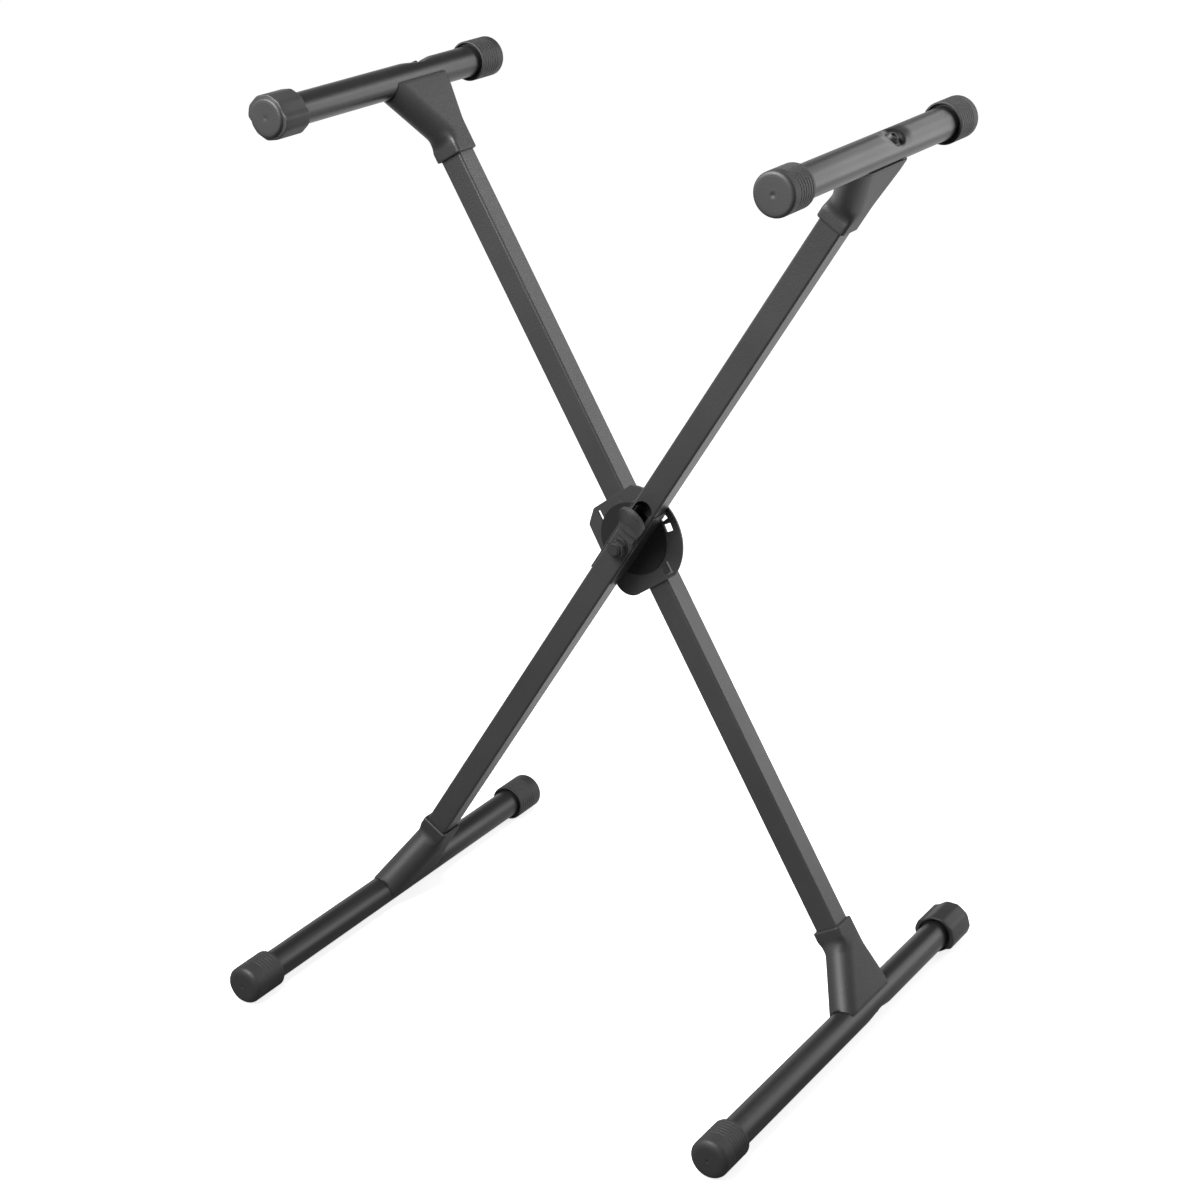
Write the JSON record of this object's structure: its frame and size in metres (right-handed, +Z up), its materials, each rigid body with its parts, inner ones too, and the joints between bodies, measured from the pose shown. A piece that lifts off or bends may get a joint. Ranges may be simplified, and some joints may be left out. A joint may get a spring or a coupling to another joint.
{
  "type": "folding keyboard stand",
  "caption": "Folding stand for a keyboard: crossed square legs with rubber-capped round bars at their ends, and a hub with a lock plate and a sprung release lever.",
  "frame": {"origin": "on the floor, below the middle of the stand's box", "axes": "+Z up, X from the left bars to the right bars, Y along the bars from front to back; the front leg rises towards +X"},
  "size_m": [0.582, 0.525, 0.9008],
  "materials": {
    "powder_steel": "fine-textured black powder coat",
    "bar_steel": "satin black enamel",
    "plate_steel": "satin black paint",
    "black_plastic": "fine-grained matte",
    "black_rubber": "matte moulded rubber",
    "pale_plastic": "natural smooth",
    "dark_fastener": "black oxide",
    "bright_steel": "plated"
  },
  "bodies": {
    "front_frame": {"leg_front": "powder_steel", "top_bar_right": "bar_steel", "foot_bar_left": "bar_steel", "bracket_top_right": "black_plastic", "bracket_foot_left": "black_plastic", "caps_front_frame": "black_rubber", "bar_bolts_front_frame": "dark_fastener", "plugs_front_frame": "black_plastic", "friction_disc": "black_plastic", "saddle_plate": "plate_steel", "hub_bolt": "dark_fastener", "hub_nut": "dark_fastener", "hub_washers": "dark_fastener", "hub_spacer": "bright_steel", "lever_pin": "bright_steel", "lever_spring": "bright_steel"},
    "rear_frame": {"leg_rear": "powder_steel", "top_bar_left": "bar_steel", "foot_bar_right": "bar_steel", "bracket_top_left": "black_plastic", "bracket_foot_right": "black_plastic", "caps_rear_frame": "black_rubber", "bar_bolts_rear_frame": "dark_fastener", "plugs_rear_frame": "black_plastic", "lock_plate": "plate_steel", "plate_rivets": "plate_steel", "hub_bush": "pale_plastic"},
    "lever": {"release_lever": "plate_steel"},
    "top_levelling_cap": {"levelling_cap_top": "black_rubber"},
    "foot_levelling_cap": {"levelling_cap_foot": "black_rubber"}
  },
  "joints": [
    {"name": "hub_hinge", "type": "hinge", "parent": "front_frame", "child": "rear_frame", "pos_m": [-0.00162, 0.045, 0.45989], "axis": [0, 1, 0], "range_deg": [-32, 57]},
    {"name": "lever_hinge", "type": "hinge", "parent": "front_frame", "child": "lever", "pos_m": [0.00465, 0.0317, 0.47012], "axis": [0.8526, 0, -0.5225], "range_deg": [0, 8], "stiffness_Nm_per_rad": 2, "springref_deg": -8.59, "deforming": ["lever_spring"]},
    {"name": "top_cap_turn", "type": "hinge", "parent": "rear_frame", "child": "top_levelling_cap", "pos_m": [-0.25895, -0.155, 0.87981], "axis": [0, 1, 0], "continuous": true},
    {"name": "foot_cap_turn", "type": "hinge", "parent": "rear_frame", "child": "foot_levelling_cap", "pos_m": [0.26825, 0.23375, 0.0195], "axis": [0, 1, 0], "continuous": true}
  ]
}
